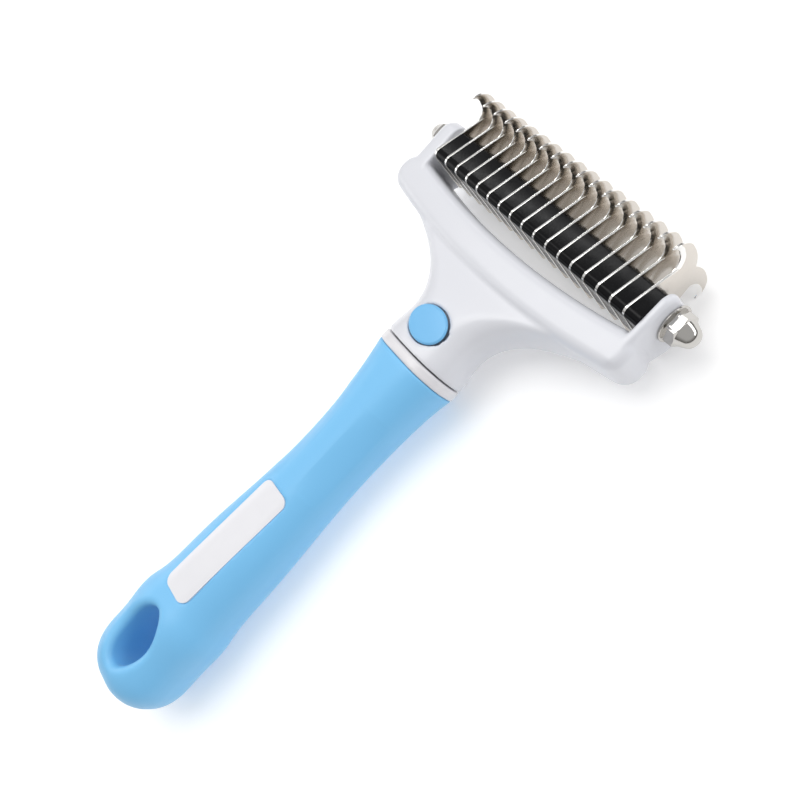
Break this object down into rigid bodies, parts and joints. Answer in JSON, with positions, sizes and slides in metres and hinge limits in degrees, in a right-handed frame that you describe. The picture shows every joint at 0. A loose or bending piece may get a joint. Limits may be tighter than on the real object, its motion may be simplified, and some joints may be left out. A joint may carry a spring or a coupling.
{
  "type": "undercoat rake",
  "caption": "Hand-held undercoat rake: a row of hooked steel blades clamped on an axle in a forked white head, with a release button and a soft blue handle with a hang hole.",
  "frame": {"origin": "Centre of the bounding box of the whole rake, handle fitted.", "axes": "+X along the axle and the row of blades, towards the end with the extra spacer; +Y from the handle to the blades; +Z out of the face that carries the button and the label."},
  "size_m": [0.093, 0.172, 0.0252],
  "materials": {
    "head_white": "glossy injection-moulded ABS, bluish white",
    "core_white": "glossy moulded ABS, off-white",
    "accent_blue": "satin moulded plastic, sky blue",
    "grip_blue": "soft-touch thermoplastic rubber, sky blue",
    "label_white": "smooth white plastic plate, plain",
    "blade_steel": "ground and polished stainless sheet",
    "axle_steel": "drawn steel rod",
    "spacer_black": "black moulded plastic, slightly glossy",
    "chrome_hardware": "bright nickel-chrome plated steel"
  },
  "bodies": {
    "handle": {"handle_core": "core_white", "grip_sleeve": "grip_blue", "label_plate": "label_white"},
    "head": {"head_frame": "head_white", "axle_rod": "axle_steel", "cap_nut_right": "chrome_hardware", "cap_nut_left": "chrome_hardware", "washer_right": "chrome_hardware", "washer_left": "chrome_hardware", "blade_01": "blade_steel", "blade_02": "blade_steel", "blade_03": "blade_steel", "blade_04": "blade_steel", "blade_05": "blade_steel", "blade_06": "blade_steel", "blade_07": "blade_steel", "blade_08": "blade_steel", "blade_09": "blade_steel", "blade_10": "blade_steel", "blade_11": "blade_steel", "blade_12": "blade_steel", "blade_13": "blade_steel", "blade_14": "blade_steel", "blade_15": "blade_steel", "blade_16": "blade_steel", "blade_17": "blade_steel", "spacer_01": "spacer_black", "spacer_02": "spacer_black", "spacer_03": "spacer_black", "spacer_04": "spacer_black", "spacer_05": "spacer_black", "spacer_06": "spacer_black", "spacer_07": "spacer_black", "spacer_08": "spacer_black", "spacer_09": "spacer_black", "spacer_10": "spacer_black", "spacer_11": "spacer_black", "spacer_12": "spacer_black", "spacer_13": "spacer_black", "spacer_14": "spacer_black", "spacer_15": "spacer_black", "spacer_16": "spacer_black", "spacer_17": "spacer_black"},
    "release_button": {"button": "accent_blue"}
  },
  "joints": [
    {"name": "head_slide", "type": "slide", "parent": "handle", "child": "head", "axis": [0, 1, 0], "range_m": [0, 0.02]},
    {"name": "button_press", "type": "slide", "parent": "head", "child": "release_button", "axis": [0, 0, -1], "range_m": [0, 0.0012], "stiffness_N_per_m": 400}
  ]
}
